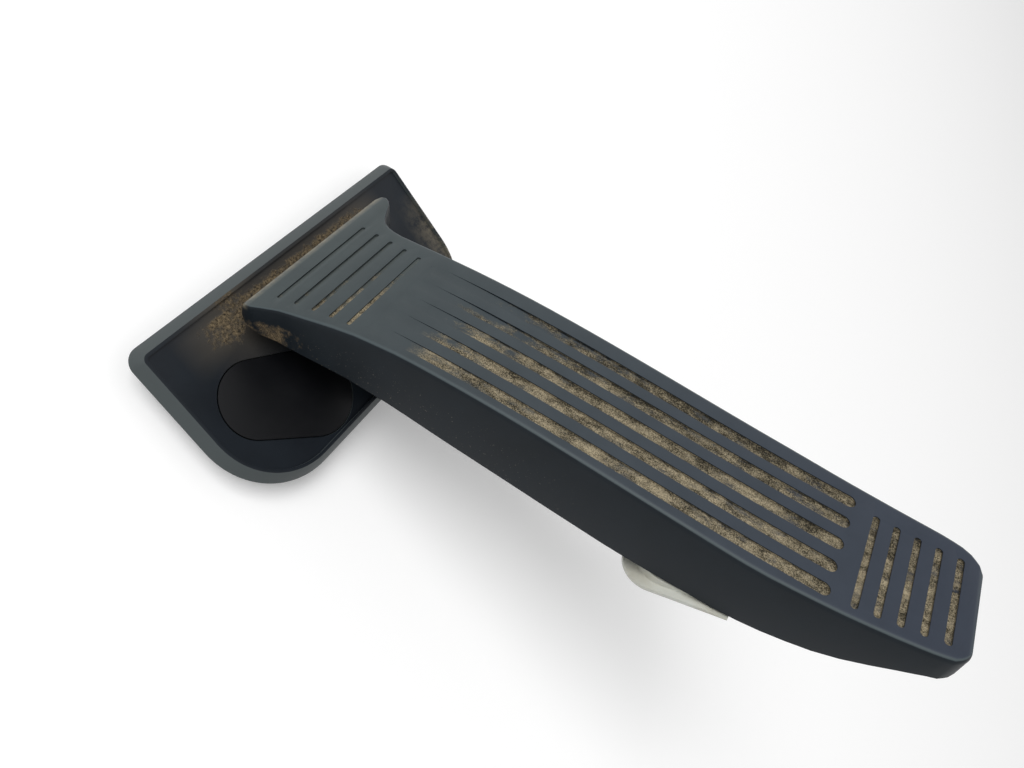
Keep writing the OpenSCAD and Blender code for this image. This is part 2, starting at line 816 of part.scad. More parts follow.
// Plan outline of the foot: round at the heel end, drawing in to the skirt at the tip end.
foot_taper = 2.8;
module foot_outline(half) {
    nose = 12;
    shift = track_half - half;
    wide = track_u0 + shift + nose;
    polygon([
        [-half, wide],
        [half, wide],
        [half - foot_taper, track_u1],
        [-half + foot_taper, track_u1]
    ]);
    translate([-half + nose, track_u0 + shift]) square([2 * (half - nose), nose + eps]);
    for (side = [-1, 1])
        translate([side * (half - nose), track_u0 + shift + nose]) circle(nose);
}

// Everything above the foot's slanted lower face, up to a given thickness.
module foot_slab(thick) {
    translate([0, track_u0, -foot_depth])
        rotate([foot_angle, 0, 0])
            translate([-deep, -deep, 0]) cube([2 * deep, 3 * deep, thick]);
}

module track_screws() {
    color(steel)
        in_pad()
            for (p = track_points())
                translate([p.x, p.y, run_w + 0.1]) {
                    cylinder(r = screw_r, h = screw_depth - 1);
                    cylinder(r1 = screw_head_r, r2 = screw_r, h = screw_head_h - 0.1);
                }
}

// The sensor case seen from the side, drawn in by a distance: a round top about the shaft, and
// straight flanks that run a little way into it, low at the front and high at the back.
case_blend = 0.4;
module case_round(inset = 0) {
    translate([shaft_y, shaft_z]) circle(case_r - inset);
}
module case_flanks(inset = 0) {
    r = case_r - inset - case_blend;
    back = case_y0 + inset;
    front = case_y1 - inset;
    low = panel_z + inset;
    polygon([
        [back, low],
        [back, back_z - inset],
        [shaft_y - r * sin(35), shaft_z + r * cos(35)],
        [shaft_y + r * sin(40), shaft_z + r * cos(40)],
        [front, front_z - inset],
        [front, low]
    ]);
}
module case_side(inset = 0) {
    case_round(inset);
    case_flanks(inset);
}
module case_block(x0, x1, inset = 0) {
    across(x0, x1) case_round(inset);
    across(x0, x1) case_flanks(inset);
}

// The case: an open chamber for the lever, a closed one for the electronics and a solid end wall.
module sensor_case() {
    color(dark)
        difference() {
            union() {
                difference() {
                    across(chamber_x0, case_x1) case_side();
                    across(chamber_x0 - eps, mid_x0) case_side(case_wall);
                }
                intersection() {
                    across(chamber_x0, mid_x0) case_side(case_wall / 2);
                    union() {
                        for (p = case_points())
                            translate([p.x - chamber_w, p.y - post_half, panel_z])
                                cube([2 * chamber_w, 2 * post_half, case_h]);
                        translate([chamber_x0, case_y0, cover_points()[2].y - 2.2])
                            cube([chamber_w + mid_wall, post_in + 2.2, case_h]);
                    }
                }
                translate([chamber_x0, shaft_y - 3.5, shaft_z + hub_r - 0.5])
                    cube([chamber_w + mid_wall, 7, stop_seat - shaft_z - hub_r + 0.5]);
            }
            across(swing_x0, swing_x1) swing_side();
            at_shaft(mid_x0 - 1, case_x1 - case_wall, shaft_r + pin_clear);
            seal_ring(chamber_x0 - eps, chamber_x0 + seal_t, 0.05);
            for (p = case_points())
                translate([p.x, p.y, panel_z - 1]) cylinder(r = screw_r + fit_gap, h = case_h - 3.5);
            for (p = cover_points())
                translate([chamber_x0 - eps, p.x, p.y])
                    rotate([0, 90, 0]) cylinder(r = cover_screw_r + fit_gap, h = chamber_w - 0.4);
            translate([stop_x + pad_x, shaft_y, stop_seat - 1.2]) cylinder(r = 1.5 + fit_gap, h = 10);
        }
}

// Space in which the lever, its springs and the friction shoe work, open at the top and the front.
module swing_side() {
    opening = shaft_y - 5;
    case_side(case_wall);
    translate([opening, floor_z]) square([case_y1 - case_wall - opening, deep]);
    translate([opening, front_z + 0.5]) square([deep, deep]);
}

module seal_ring(x0, x1, grow = 0) {
    difference() {
        case_block(x0, x1, 0.5 - grow);
        case_block(x0 - eps, x1 + eps, 1.3 + grow);
    }
}

module case_screws() {
    color(steel)
        for (p = case_points())
            translate([p.x, p.y, panel_under - 1]) {
                cylinder(r = screw_r, h = panel_t + case_h - 4);
                cylinder(r = screw_head_r, h = screw_head_h - 0.3);
            }
}

// The three screws that hold the cover: two in the low posts, one in the block at the back's top.
function cover_points() = [
    [case_y0 + post_in, panel_z + case_h - 3.2],
    [case_y1 - post_in, panel_z + case_h - 3.2],
    [case_y0 + post_in, back_z - 4.3]
];

// Cover of the electronics chamber with the connector socket moulded on.
module case_cover() {
    color(dark)
        difference() {
            union() {
                across(cover_x0, chamber_x0) case_side();
                across(cover_x0 - socket_len, cover_x0)
                    translate([socket_y, socket_z])
                        square([socket_w + 2 * socket_wall, socket_h + 2 * socket_wall], center = true);
                across(cover_x0 - 8, cover_x0 - 5)
                    translate([socket_y - 2.5, socket_z + socket_h / 2 + socket_wall - eps]) square([5, 1.4]);
            }
            across(cover_x0 - socket_len - eps, cover_x0)
                translate([socket_y, socket_z]) square([socket_w, socket_h], center = true);
            contact_row(contact_t + 2 * fit_gap);
            for (p = cover_points())
                translate([cover_x0 - 1, p.x, p.y])
                    rotate([0, 90, 0]) cylinder(r = cover_screw_r + 0.1, h = cover_t + 2);
        }
}

module cover_screws() {
    color(steel)
        for (p = cover_points())
            translate([cover_x0, p.x, p.y])
                rotate([0, 90, 0]) {
                    cylinder(r = cover_screw_r, h = cover_t + chamber_w - 1);
                    translate([0, 0, -1]) cylinder(r = cover_screw_r + 0.9, h = 1);
                }
}

module cover_seal() {
    color(rubber) seal_ring(chamber_x0, chamber_x0 + seal_t - 0.05);
}

module circuit_board() {
    notch = 4;
    color(board_green)
        difference() {
            case_block(board_x0, board_x0 + board_t, case_wall + 0.4);
            across(board_x0 - eps, board_x0 + board_t + eps) {
                for (y = [case_y0, case_y1])
                    translate([y - 7.5, panel_z]) square([15, case_h + 0.6]);
                translate([case_y0, cover_points()[2].y - 2.6]) square([post_in + 2.6, case_h]);
                translate([shaft_y - notch, shaft_z + hub_r - 1]) square([2 * notch, 10]);
            }
            contact_row(contact_t + 2 * fit_gap);
        }
}

// Two sensor chips face the ring magnet.
module hall_chips() {
    color(dark)
        for (side = [-1, 1])
            translate([board_x0 + board_t, shaft_y + side * 5 - 2, shaft_z - 2.5]) cube([0.6, 4, 5]);
}

module contact_row(t) {
    for (i = [0:pin_count - 1])
        across(cover_x0 - socket_len / 2, board_x0 + board_t + 0.3)
            translate([socket_y + (i - (pin_count - 1) / 2) * pin_pitch, socket_z]) square(t, center = true);
}

module contact_pins() {
    color(brass) contact_row(contact_t);
}

module lever_shaft() {
    color(steel) at_shaft(magnet_x0 + 0.3, case_x1 - case_wall - 0.1, shaft_r);
}

module in_lever() {
    translate([lever_x, shaft_y, shaft_z]) rotate([lever_angle, 0, 0]) children();
}

// The lever: hub, deep arm with side pockets, spring tab, and a fork for the roller.
module sensor_lever() {
    block = roller_r + 1.5;
    cheek = 2;
    fork_w = roller_w_x + 2 * 0.3 + 2 * cheek;
    color(nylon_dark)
        difference() {
            union() {
                at_shaft(swing_x0 + 0.4, swing_x1 - 0.4, hub_r);
                in_lever() {
                    across(-lever_w / 2, lever_w / 2) arm_side(0);
                    across(-fork_w / 2, fork_w / 2)
                        translate([lever_len - block - 9, -arm_d1 / 2]) square([9, arm_d1]);
                    for (side = [-1, 1])
                        translate([side * (fork_w - cheek) / 2, 0, 0])
                            across(-cheek / 2, cheek / 2) {
                                translate([lever_len - block - 9, -arm_d1 / 2]) square([block + 9, arm_d1]);
                                translate([lever_len, 0]) circle(arm_d1 / 2);
                            }
                }
                translate([lever_x - spring_seat, shaft_y + 3, spring_top])
                    cube([2 * spring_seat, spring_out - 3 + outer_coil_r, 3]);
            }
            at_shaft(swing_x0 - 1, swing_x1 + 1, shaft_r + fit_gap);
            in_lever() {
                for (side = [-1, 1])
                    translate([side * lever_w / 2, 0, 0]) across(-1.6, 1.6) arm_pockets();
                across(-far_reach / 8, far_reach / 8)
                    translate([lever_len, 0]) circle(roller_pin_r + fit_gap);
            }
        }
}

module arm_side(inset) {
    end = lever_len - roller_r - 2;
    polygon([
        [0, -arm_d0 / 2 + inset], [end, -arm_d1 / 2 + inset], [end, arm_d1 / 2 - inset], [0, arm_d0 / 2 - inset]
    ]);
}

// Pockets along both sides of the arm, with upright ribs left between them.
module arm_pockets() {
    first = hub_r + 5;
    last = lever_len - roller_r - 13;
    count = 4;
    step = (last - first) / count;
    intersection() {
        arm_side(1.8);
        for (i = [0:count - 1])
            translate([first + i * step, -arm_d0]) square([step - rib_t, 2 * arm_d0]);
    }
}

module roller() {
    color(nylon)
        in_lever()
            translate([-roller_w_x / 2, lever_len, 0])
                rotate([0, 90, 0])
                    difference() {
                        union() {
                            translate([0, 0, 0.6]) cylinder(r = roller_r, h = roller_w_x - 1.2);
                            cylinder(r = roller_r - 0.6, h = roller_w_x);
                        }
                        translate([0, 0, -1]) cylinder(r = roller_pin_r + pin_clear, h = roller_w_x + 2);
                    }
}

// The roller's pin reaches through both cheeks of the fork.
pin_reach = roller_w_x / 2 + 0.3 + 2;
module roller_pin() {
    color(steel)
        in_lever()
            translate([-pin_reach - 1, lever_len, 0])
                rotate([0, 90, 0])
                    difference() {
                        union() {
                            cylinder(r = roller_pin_r, h = 2 * pin_reach + 3);
                            cylinder(r = roller_pin_r + 1, h = 1);
                        }
                        translate([0, 0, 2 * pin_reach + 1.1])
                            difference() {
                                cylinder(r = roller_pin_r + 1, h = 0.7);
                                translate([0, 0, -1]) cylinder(r = roller_pin_r - 0.4, h = 3);
                            }
                    }
}

// Spring clip in the groove at the pin's end.
module pin_clip() {
    color(steel)
        in_lever()
            translate([pin_reach + 0.15, lever_len, 0])
                rotate([0, 90, 0])
                    difference() {
                        cylinder(r = roller_pin_r + 1.4, h = 0.6);
                        translate([0, 0, -1]) cylinder(r = roller_pin_r - 0.35, h = 3);
                        translate([-roller_pin_r + 0.5, -5, -1]) cube([2 * roller_pin_r - 1, 5, 3]);
                    }
}

module magnet_holder() {
    color(nylon_dark)
        difference() {
            at_shaft(magnet_x0, mid_x0 - body_gap, hub_r - 1);
            at_shaft(magnet_x0 - 1, mid_x0, shaft_r + fit_gap);
            difference() {
                at_shaft(magnet_x0 - 1, magnet_x0 + magnet_t, magnet_r + fit_gap);
                at_shaft(magnet_x0 - 2, magnet_x0 + 5, shaft_r + 0.7);
            }
        }
}

module ring_magnet() {
    color(zinc)
        difference() {
            at_shaft(magnet_x0, magnet_x0 + magnet_t, magnet_r);
            at_shaft(magnet_x0 - 1, magnet_x0 + 5, shaft_r + 0.7 + fit_gap);
        }
}

// Round wire wound to a coil along Z, from one height to another.
module coil(coil_r, wire_r, z0, z1, turns) {
    sides = 8;
    per_turn = 16;
    steps = turns * per_turn;
    points = [
        for (i = [0:steps])
            let (a = 360 * i / per_turn, z = z0 + wire_r + (z1 - z0 - 2 * wire_r) * i / steps)
                for (k = [0:sides - 1])
                    let (b = 360 * k / sides, r = coil_r + wire_r * cos(b))
                        [r * cos(a), r * sin(a), z + wire_r * sin(b)]
    ];
    skin = [
        for (i = [0:steps - 1])
            for (k = [0:sides - 1])
                let (p = i * sides + k, q = i * sides + (k + 1) % sides)
                    for (face = [[p, q, q + sides], [p, q + sides, p + sides]]) face
    ];
    first = [for (k = [sides - 1:-1:0]) k];
    last = [for (k = [0:sides - 1]) steps * sides + k];
    polyhedron(points = points, faces = concat(skin, [first, last]));
}

module return_spring_outer() {
    color(steel)
        translate([lever_x, shaft_y + spring_out, 0])
            coil(outer_coil_r, outer_wire_r, floor_z, spring_top - 0.05, 5);
}

module return_spring_inner() {
    color(steel)
        translate([lever_x, shaft_y + spring_out, 0])
            coil(inner_coil_r, inner_wire_r, floor_z, spring_top - 0.05, 7);
}

// The shoe rubs on the hub and steadies the pedal.
module friction_shoe() {
    reach = hub_r + shoe_gap + shoe_t;
    color(nylon)
        difference() {
            union() {
                intersection() {
                    across(lever_x - 4.5, lever_x + 4.5)
                        translate([shaft_y, shaft_z]) circle(reach);
                    across(lever_x - 5, lever_x + 5)
                        translate([shaft_y, shaft_z])
                            polygon([[0, 0], [-20, 20 * tan(18)], [-20, -20 * tan(18)]]);
                }
                translate([lever_x, shaft_y - reach - 3.2, shaft_z])
                    rotate([-90, 0, 0]) cylinder(r = 1.5, h = 4.5);
            }
            at_shaft(lever_x - 6, lever_x + 6, hub_r + shoe_gap);
        }
}

module shoe_spring() {
    back = case_y0 + case_wall;
    front = shaft_y - hub_r - shoe_gap - shoe_t;
    color(steel)
        translate([lever_x, back, shaft_z])
            rotate([-90, 0, 0]) coil(2.1, 0.4, 0.05, front - back - 0.05, 4);
}

// Rubber buffer on the case that the pad meets at full throttle.
module full_stop() {
    color(rubber)
        translate([stop_x + pad_x, shaft_y, stop_seat]) {
            translate([0, 0, -1.2]) cylinder(r = 1.5, h = 1.2 + eps);
            cylinder(r = 3, h = 3.2);
            translate([0, 0, 3.2]) cylinder(r1 = 3, r2 = 1.5, h = 1);
        }
}

base_plate();
backing_plate();
backing_screws();
fixing_sleeves();
fixing_cap();
hinge_bushes();
hinge_pin();
pedal_pad();
slide_track();
track_screws();
sensor_case();
case_screws();
case_cover();
cover_screws();
cover_seal();
circuit_board();
hall_chips();
contact_pins();
lever_shaft();
sensor_lever();
magnet_holder();
ring_magnet();
roller();
roller_pin();
pin_clip();
return_spring_outer();
return_spring_inner();
friction_shoe();
shoe_spring();
full_stop();
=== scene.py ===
import json
import math

import bpy
from mathutils import Matrix, Vector

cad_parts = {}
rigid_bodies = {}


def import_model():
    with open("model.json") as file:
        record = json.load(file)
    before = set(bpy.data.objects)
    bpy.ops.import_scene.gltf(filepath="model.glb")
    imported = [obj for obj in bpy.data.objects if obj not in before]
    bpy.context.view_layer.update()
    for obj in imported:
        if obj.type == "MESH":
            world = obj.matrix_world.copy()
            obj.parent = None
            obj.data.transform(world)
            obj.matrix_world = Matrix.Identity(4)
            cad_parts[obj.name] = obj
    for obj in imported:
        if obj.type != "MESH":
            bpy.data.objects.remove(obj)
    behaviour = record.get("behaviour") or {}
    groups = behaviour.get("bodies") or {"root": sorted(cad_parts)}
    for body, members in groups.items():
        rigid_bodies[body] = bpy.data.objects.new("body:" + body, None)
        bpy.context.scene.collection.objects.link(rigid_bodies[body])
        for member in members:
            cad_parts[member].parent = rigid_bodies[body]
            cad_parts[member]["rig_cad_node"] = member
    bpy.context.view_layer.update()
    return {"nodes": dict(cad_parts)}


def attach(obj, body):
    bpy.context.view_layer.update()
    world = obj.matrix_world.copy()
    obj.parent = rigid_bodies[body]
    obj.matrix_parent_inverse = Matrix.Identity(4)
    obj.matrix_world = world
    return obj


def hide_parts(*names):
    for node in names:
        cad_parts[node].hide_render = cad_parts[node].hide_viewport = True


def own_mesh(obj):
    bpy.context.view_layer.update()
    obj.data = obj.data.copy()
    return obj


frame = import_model()

# Foot plate: injection moulded in black polypropylene with a fine spark-eroded grain. Its
# bevelled rim is painted greyer where it slopes, a painted highlight. Brown soil has dried on
# the panel, between the heel bevel and the pad, and mud along the far edge.

# Each limit is a pair in metres: where the dirt ends, and from where it lies in full.
SOIL_ENDS = ((-0.056, -0.040), (0.062, 0.044))
SOIL_SIDES = ((-0.0345, -0.0285), (-0.0125, -0.021))
SPREAD_ENDS = ((0.010, 0.030), (0.056, 0.038))
SPREAD_SIDE = (0.000, -0.024)
MUD_END = (-0.058, -0.073)
MUD_SIDE = (-0.022, -0.004)

# The upward part of a face's normal, on the level panel and on the sloping rim.
LEVEL = (0.90, 0.97)
SLOPING = (0.97, 0.80)

# Widths of the clods, crumbs and clouds of wear, in millimetres.
CLOD_WIDTH = 5.263
CRUMB_WIDTH = 1.111
CLOUD_WIDTH = 16.667


def linear(code):
    """An sRGB hex colour as linear red, green, blue and alpha."""
    parts = [int(code[i:i + 2], 16) / 255 for i in (1, 3, 5)]
    return [c / 12.92 if c <= 0.04045 else ((c + 0.055) / 1.055) ** 2.4 for c in parts] + [1.0]


def fill(mat, socket, value):
    """Gives a socket a number or a hex colour, or links it to a socket or a node's result."""
    if isinstance(value, bpy.types.Node):
        value = next(result for result in value.outputs if result.enabled)
    if isinstance(value, bpy.types.NodeSocket):
        mat.node_tree.links.new(value, socket)
    else:
        socket.default_value = linear(value) if isinstance(value, str) else value


def add(mat, kind, *values, **settings):
    """Adds a shader node with its settings, and fills its inputs in order, or by name from a
    dict. A value is a number, a hex colour, a socket or a node.
    """
    node = mat.node_tree.nodes.new("ShaderNode" + kind)
    for name, setting in settings.items():
        setattr(node, name, setting)
    if values and isinstance(values[0], dict):
        inputs = [(node.inputs[name], value) for name, value in values[0].items()]
    else:
        inputs = zip([socket for socket in node.inputs if socket.enabled], values)
    for socket, value in inputs:
        fill(mat, socket, value)
    return node


def share(mat, *ramps, most=1.0):
    """A share up to most: a product of ramps, each a value and where it gives 0 and 1."""
    for value, (none, full) in ramps:
        most = add(mat, "MapRange", value, none, full, 0.0, most)
    return most


def paint(mat, colour, *coats):
    """A colour with coats over it, each a share and the colour that it lays on."""
    for cover, coat in coats:
        colour = add(mat, "Mix", cover, colour, coat, data_type="RGBA")
    return colour


def start(name, colour, roughness, metallic=0.0):
    """A new material with its shader, whose colour and roughness are set on the sockets."""
    mat = bpy.data.materials.new(name)
    mat.use_nodes = True
    shader = mat.node_tree.nodes["Principled BSDF"]
    shader.inputs["Base Color"].default_value = linear(colour)
    shader.inputs["Roughness"].default_value = roughness
    shader.inputs["Metallic"].default_value = metallic
    return mat, shader


def wear(mat, low, high):
    """Slow cloudy variation between two values, such as handling leaves on a surface."""
    noise = add(mat, "TexNoise", {"Vector": add(mat, "TexCoord").outputs["Object"],
                                  "Scale": 1000 / CLOUD_WIDTH, "Detail": 5.0,
                                  "Roughness": 0.6})
    return add(mat, "MapRange", noise, 0.3, 0.7, low, high)


def grain(mat, shader, width, height):
    """Raised grain of a moulded skin, by its cells' width and height in millimetres. A real
    grain is about 0.1 mm wide, too fine to show, so it is drawn 4 to 6 times coarser.
    """
    cells = add(mat, "TexNoise", {"Vector": add(mat, "TexCoord").outputs["Object"],
                                  "Scale": 1000 / width, "Detail": 2.0})
    bump = add(mat, "Bump", {"Strength": 0.35, "Distance": height / 1000, "Height": cells})
    fill(mat, shader.inputs["Normal"], bump)
    return bump


def dress(name, mat, edge=0.00025, smooth=35.0):
    """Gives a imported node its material, and its moulded or rolled edges by live modifiers."""
    node = frame["nodes"][name]
    for place in node.material_slots:
        place.material = mat
    if not node.material_slots:
        node.data.materials.append(mat)
    for face in node.data.polygons:
        face.use_smooth = True
    weld = node.modifiers.new("Weld", "WELD")
    weld.merge_threshold = 0.000002
    if edge:
        bevel = node.modifiers.new("Edges", "BEVEL")
        bevel.width = edge
        bevel.segments = 3
        bevel.limit_method = "ANGLE"
        bevel.angle_limit = math.radians(smooth)
    split = node.modifiers.new("Creases", "EDGE_SPLIT")
    split.split_angle = math.radians(smooth)
    return node


grained, shader = start("Grained polypropylene", "#1A1C1E", 0.5)
shader.inputs["Specular IOR Level"].default_value = 0.25
here = add(grained, "TexCoord").outputs["Object"]
along, across, _ = add(grained, "SeparateXYZ", here).outputs
facing = add(grained, "SeparateXYZ", add(grained, "NewGeometry").outputs["Normal"]).outputs["Z"]
panel = paint(grained, "#0A1017", (wear(grained, 0.0, 1.0), "#121920"))
# Painted highlight: the sloping rim faces are painted greyer than the level panel.
clean_with_rim_highlight = paint(grained, panel, (share(grained, (facing, SLOPING)), "#424849"))

# The soil lies in a strip along the heel bevel, and spreads towards the cap at the near end.
# It is caked where its clods are thickest, and a brown haze elsewhere.
clods = add(grained, "TexNoise", {"Vector": here, "Scale": 1000 / CLOD_WIDTH, "Detail": 9.0,
                                  "Roughness": 0.76})
crumbs = add(grained, "TexNoise", {"Vector": here, "Scale": 1000 / CRUMB_WIDTH, "Detail": 6.0,
                                   "Roughness": 0.75})
strip = share(grained, (along, SOIL_ENDS[0]), (along, SOIL_ENDS[1]),
              (across, SOIL_SIDES[0]), (across, SOIL_SIDES[1]))
spread = share(grained, (along, SPREAD_ENDS[0]), (along, SPREAD_ENDS[1]),
               (across, SPREAD_SIDE), most=0.86)
lies = add(grained, "Math", strip, spread, operation="MAXIMUM")
lies = share(grained, (facing, LEVEL), most=lies)
heaped = add(grained, "Math", lies, 0.55, clods, operation="MULTIPLY_ADD")
caked = share(grained, (heaped, (0.92, 1.08)))
haze = add(grained, "Math", lies, 0.35, operation="MULTIPLY")
mud = share(grained, (along, MUD_END), (across, MUD_SIDE), (clods, (0.38, 0.58)), most=0.75)
earth = paint(grained, "#1D1913", (share(grained, (crumbs, (0.38, 0.66))), "#8C7B60"))
fill(grained, shader.inputs["Base Color"],
     paint(grained, clean_with_rim_highlight, (haze, "#6A6153"), (mud, "#6F6859"), (caked, earth)))
fill(grained, shader.inputs["Roughness"],
     add(grained, "Math", caked, 0.45, 0.47, operation="MULTIPLY_ADD"))
lumps = add(grained, "Bump", {"Strength": 0.7, "Distance": 0.0009,
                              "Height": add(grained, "Math", caked, crumbs, operation="MULTIPLY"),
                              "Normal": grain(grained, shader, 0.3846, 0.05)})
fill(grained, shader.inputs["Normal"], lumps)
dress("base_plate", grained, 0.0004)


# Floor side: pressed steel backing plate with its countersunk screws, and the steel sleeves
# that the floor bolts clamp. All are zinc plated, so pale grey with a faint cloudy bloom.
def cloudy(name, colour, low, high, metallic=0.0):
    """A material whose roughness varies slowly between two values."""
    mat, shader = start(name, colour, (low + high) / 2, metallic)
    fill(mat, shader.inputs["Roughness"], wear(mat, low, high))
    return mat, shader


zinc, _ = cloudy("Zinc-plated steel", "#A9ABA8", 0.3, 0.55, 1.0)
for name in ("backing_plate", "fixing_sleeves", "backing_screws"):
    dress(name, zinc, 0.0002)

# Flush cap: oval cap over the near floor bolt, moulded in the same black plastic with a
# smoother face. It snaps into its recess and shows only as a thin outline.
smooth_cap, shader = cloudy("Smooth polypropylene", "#08090C", 0.36, 0.5)
shader.inputs["Specular IOR Level"].default_value = 0.2
grain(smooth_cap, shader, 0.3846, 0.04)
dress("fixing_cap", smooth_cap, 0.0003)

# Hinge: turned and ground steel pin, bright and nearly even, in two flanged bushes of
# moulded natural nylon, which shows as a milky, slightly see-through off-white.
nylon, shader = start("Natural nylon", "#C9CBC2", 0.38)
shader.inputs["Subsurface Weight"].default_value = 0.15
shader.inputs["Subsurface Radius"].default_value = (0.002, 0.0018, 0.0014)
fill(nylon, shader.inputs["Base Color"],
     paint(nylon, "#BBBEB7", (wear(nylon, 0.0, 1.0), "#A7A599")))
bright_steel, _ = cloudy("Ground steel", "#B4B5B6", 0.2, 0.38, 1.0)
dress("hinge_bushes", nylon)
dress("hinge_pin", bright_steel)

# Pad: moulded in one piece in black nylon, with a satin top that soles have worn. Three
# fields of grooves hold pale dust, densest in the tip field and along the near side. It
# turns on the hinge pin, which its lugs hold.
PAD_START = (0.0045, -0.029, 0.0281)
PAD_ANGLE = math.radians(41)
PAD_LENGTH = 0.256
CROWN_NEAR_HEEL, CROWN_NEAR_TIP = 0.018, -0.007

satin, shader = start("Satin moulded nylon", "#24282B", 0.4)
shader.inputs["Specular IOR Level"].default_value = 0.15
cos, sin = math.cos(PAD_ANGLE), math.sin(PAD_ANGLE)
shift = (-PAD_START[0],
         -(PAD_START[1] * cos + PAD_START[2] * sin),
         -(PAD_START[2] * cos - PAD_START[1] * sin))
on_pad = add(satin, "Mapping", {"Vector": add(satin, "TexCoord").outputs["Object"],
                                "Location": shift, "Rotation": (-PAD_ANGLE, 0.0, 0.0)})
across_pad, up_pad, off_pad = add(satin, "SeparateXYZ", on_pad).outputs

# Depth below the crown's curve, a cubic between heel edge and tip. Its two inner control
# points stand CROWN_NEAR_HEEL and CROWN_NEAR_TIP off the straight line between them.
gone = add(satin, "Math", up_pad, PAD_LENGTH, operation="DIVIDE")
left = add(satin, "Math", 1.0, gone, operation="SUBTRACT")
lift = add(satin, "Math", left, CROWN_NEAR_HEEL, operation="MULTIPLY")
lift = add(satin, "Math", gone, CROWN_NEAR_TIP, lift, operation="MULTIPLY_ADD")
between = add(satin, "Math", gone, left, operation="MULTIPLY")
between = add(satin, "Math", between, 3.0, operation="MULTIPLY")
crown = add(satin, "Math", between, lift, operation="MULTIPLY")
depth = add(satin, "Math", crown, off_pad, operation="SUBTRACT")

# The grooved area ends where the rounded crests begin, and its near side narrows towards
# the tip. It is wider in the heel field, and narrower on the far side of the tip field.
FIELD_START, FIELD_END = 0.004, 0.2525
HEEL_FIELD, TIP_FIELD = (0.045, 0.043), (0.216, 0.219)
NEAR_WIDTH, NEAR_TAPER, NEAR_AT_HEEL = 0.0219, -0.09, 0.0403
FAR_WIDTH = 0.0222
HEEL_NEAR, HEEL_FAR, TIP_FAR = 0.0027, 0.0046, -0.0034

# A groove shows by its depth, from just below its edge to its floor.
GROOVE_EDGE, GROOVE_FLOOR = (0.00028, 0.00052), (0.0022, 0.0016)

in_heel = share(satin, (up_pad, HEEL_FIELD))
in_tip = share(satin, (up_pad, TIP_FIELD))
near_end = add(satin, "Math", up_pad, NEAR_TAPER, NEAR_AT_HEEL, operation="MULTIPLY_ADD")
near_end = add(satin, "Math", near_end, NEAR_WIDTH, operation="MINIMUM")
near_end = add(satin, "Math", in_heel, HEEL_NEAR, near_end, operation="MULTIPLY_ADD")
far_end = add(satin, "Math", in_heel, HEEL_FAR, FAR_WIDTH, operation="MULTIPLY_ADD")
far_end = add(satin, "Math", in_tip, TIP_FAR, far_end, operation="MULTIPLY_ADD")
room = add(satin, "Math", near_end, across_pad, operation="SUBTRACT")
for edge in (add(satin, "Math", far_end, across_pad, operation="ADD"),
             add(satin, "Math", up_pad, FIELD_START, operation="SUBTRACT"),
             add(satin, "Math", FIELD_END, up_pad, operation="SUBTRACT")):
    room = add(satin, "Math", room, edge, operation="MINIMUM")
in_field = add(satin, "Math", room, 0.0, operation="GREATER_THAN")
in_groove = share(satin, (depth, GROOVE_EDGE), (depth, GROOVE_FLOOR), most=in_field)

# Dust is thick in the tip field, thins out and darkens towards the heel and the far side,
# and lies in streaks along the long grooves. A line of it has settled along the heel edge.
# The patches, drifts and grains are measured in millimetres. Real dust is much finer than
# its grains here, which are as coarse as they need to be to show.
HEEL_GROOVES, LONG_GROOVES = (0.047, 0.044), (0.044, 0.047)
PATCH_WIDTH = 4.762
DRIFT_WIDTH = 3.333
DUST_WIDTH = 0.4348

streaks = add(satin, "Mapping", {"Vector": on_pad, "Scale": (1.0, 0.4, 1.0)})
patches = add(satin, "TexNoise", {"Vector": streaks, "Scale": 1000 / PATCH_WIDTH, "Detail": 8.0,
                                  "Roughness": 0.75})
drift = add(satin, "TexNoise", {"Vector": streaks, "Scale": 1000 / DRIFT_WIDTH, "Detail": 6.0,
                                "Roughness": 0.7})
dust_grain = add(satin, "TexNoise", {"Vector": on_pad, "Scale": 1000 / DUST_WIDTH,
                                     "Detail": 4.0, "Roughness": 0.75})
lean = add(satin, "Math", across_pad, 1.4, up_pad, operation="MULTIPLY_ADD")
heel_lean = add(satin, "Math", across_pad, 0.8, up_pad, operation="MULTIPLY_ADD")
cover = add(satin, "Math", share(satin, (lean, (0.030, 0.100)), (up_pad, LONG_GROOVES)),
            share(satin, (heel_lean, (0.018, 0.046)), (up_pad, HEEL_GROOVES), most=1.1),
            operation="MAXIMUM")
amount = add(satin, "Math", cover, 0.30, patches, operation="MULTIPLY_ADD")
dust = share(satin, (amount, (0.61, 0.78)), most=in_groove)
heel_line = share(satin, (up_pad, (0.0036, 0.0012)), (patches, (0.34, 0.56)),
                  (depth, (0.0024, 0.0010)), most=0.6)
pale = add(satin, "Math", drift, 0.7, dust_grain, operation="MULTIPLY_ADD")
far_side = add(satin, "Math", across_pad, 0.0, operation="MINIMUM")
pale = add(satin, "Math", far_side, 3.0, pale, operation="MULTIPLY_ADD")
dust_colour = paint(satin, "#2B2820", (share(satin, (pale, (0.74, 1.02))), "#A89C82"))

# Soil sticks to the skirt at the near heel corner, and its specks are scattered over the
# skirt's lower part. Smears and specks are measured in millimetres.
SMEAR_WIDTH = 4.348
SPECK_WIDTH = 0.6667

